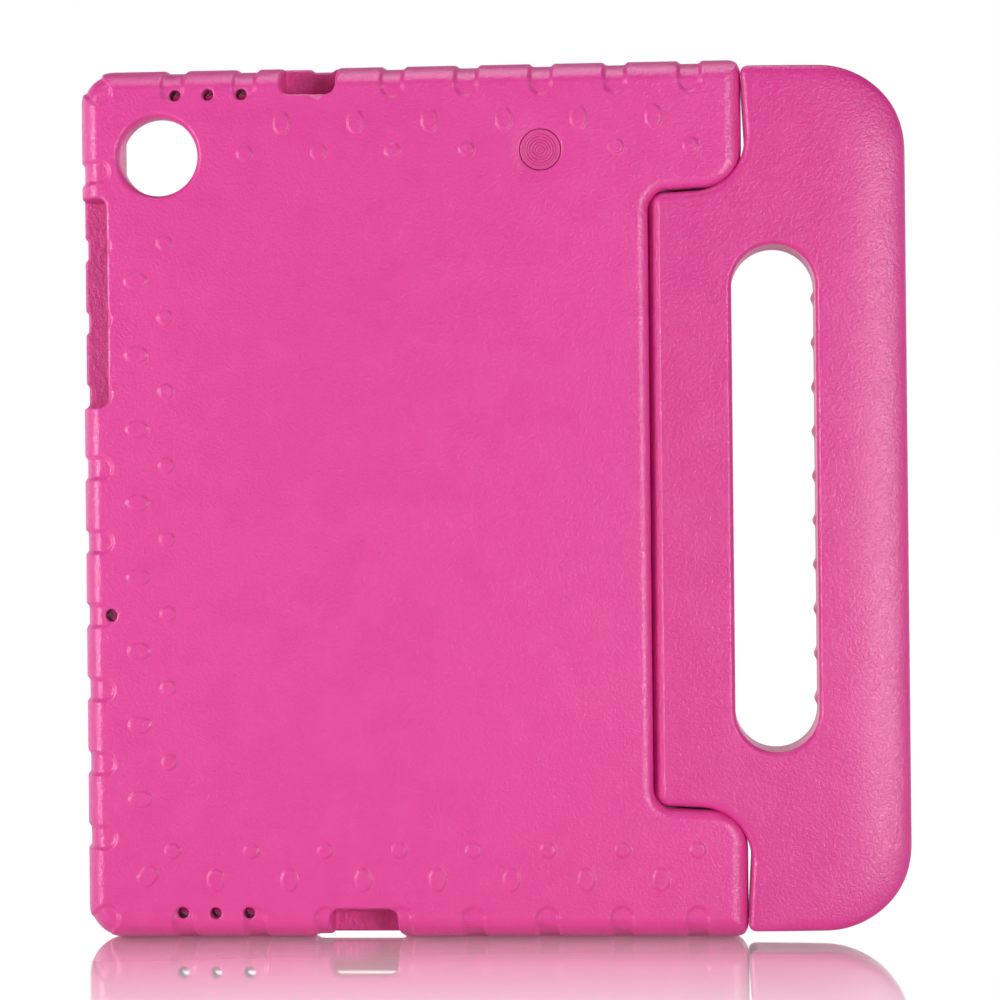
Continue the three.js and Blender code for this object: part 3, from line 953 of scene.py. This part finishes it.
def add_floor():
    """A wide sheet of softly lit white acrylic, a mirror at a low angle and pale from above."""
    size = 8.0
    mesh = bpy.data.meshes.new("floor")
    corners = [(-size, -size), (size, -size), (size, size), (-size, size)]
    mesh.from_pydata([(x, y, CAD_BOX[0].z - 0.00005) for x, y in corners], [], [(0, 1, 2, 3)])
    floor = bpy.data.objects.new("floor", mesh)
    bpy.context.scene.collection.objects.link(floor)
    s = Shader("white_acrylic")
    haze = s.noise(30.0, detail=1.0)
    pale = s.add("ShaderNodeAddShader")
    s.feed(pale.inputs[0], s.add("ShaderNodeBsdfDiffuse", Color=(0.9, 0.895, 0.9, 1)).outputs[0])
    seen = s.add("ShaderNodeLightPath").outputs["Is Camera Ray"]
    glow = s.ranged(seen, 0.08, 0.45, 0.0, 1.0)
    s.feed(pale.inputs[1], s.add("ShaderNodeEmission", Color=(1, 0.98, 0.99, 1), Strength=glow).outputs[0])
    gloss = s.add("ShaderNodeBsdfGlossy", Color=(1, 1, 1, 1), Roughness=s.ranged(haze, 0.03, 0.05)).outputs[0]
    facing = s.add("ShaderNodeLayerWeight", Blend=0.5).outputs["Facing"]
    blend = s.add("ShaderNodeMixShader")
    for i, part in enumerate((s.ranged(facing, 0.0, 0.93, 0.812, 0.862), pale.outputs[0], gloss)):
        s.feed(blend.inputs[i], part)
    s.tree.links.new(blend.outputs[0], s.tree.nodes["Material Output"].inputs[0])
    mesh.materials.append(s.material)


ROOM = {"overhead": 0.075, "horizon": 0.74, "behind_camera": 0.2, "behind_object": 1.5}


def add_surroundings():
    """White all round for the camera. What lights the object is a soft room, brightest behind it."""
    world = bpy.data.worlds.new("studio")
    bpy.context.scene.world = world
    world.use_nodes = True
    tree = world.node_tree
    seen, room = tree.nodes["Background"], tree.nodes.new("ShaderNodeBackground")
    seen.inputs["Strength"].default_value = 1.0
    seen.inputs["Color"].default_value = (1, 1, 1, 1)
    room.inputs["Color"].default_value = (1, 0.985, 0.99, 1)
    place, split = tree.nodes.new("ShaderNodeTexCoord"), tree.nodes.new("ShaderNodeSeparateXYZ")
    tree.links.new(place.outputs["Generated"], split.inputs[0])

    def ramp(axis, start, end, low, high):
        node = tree.nodes.new("ShaderNodeMapRange")
        tree.links.new(split.outputs[axis], node.inputs[0])
        for i, value in enumerate((start, end, low, high)):
            node.inputs[i + 1].default_value = value
        return node.outputs[0]

    def product(a, b):
        node = tree.nodes.new("ShaderNodeMath")
        node.operation = "MULTIPLY"
        tree.links.new(a, node.inputs[0])
        tree.links.new(b, node.inputs[1])
        return node.outputs[0]

    strength = ramp("Z", 0.22, 0.5, ROOM["horizon"], ROOM["overhead"])
    strength = product(strength, ramp("Y", -0.95, -0.45, ROOM["behind_camera"], 1.0))
    strength = product(strength, ramp("Y", 0.3, 0.8, 1.0, ROOM["behind_object"]))
    tree.links.new(strength, room.inputs["Strength"])
    path, mix = tree.nodes.new("ShaderNodeLightPath"), tree.nodes.new("ShaderNodeMixShader")
    tree.links.new(path.outputs["Is Camera Ray"], mix.inputs[0])
    tree.links.new(room.outputs[0], mix.inputs[1])
    tree.links.new(seen.outputs[0], mix.inputs[2])
    tree.links.new(mix.outputs[0], tree.nodes["World Output"].inputs[0])


add_camera()
add_floor()
add_surroundings()
add_softbox("left_softbox", (-0.92, -0.55, -0.1), 0.4, 0.8, 12.0)
add_softbox("right_softbox", (0.6, -0.9, -0.1), 0.5, 0.5, 9.6)
add_softbox("top_softbox", (-0.05, 0.02, 0.8), 0.8, 0.4, 2.8)
bpy.context.scene.view_settings.view_transform = "Standard"
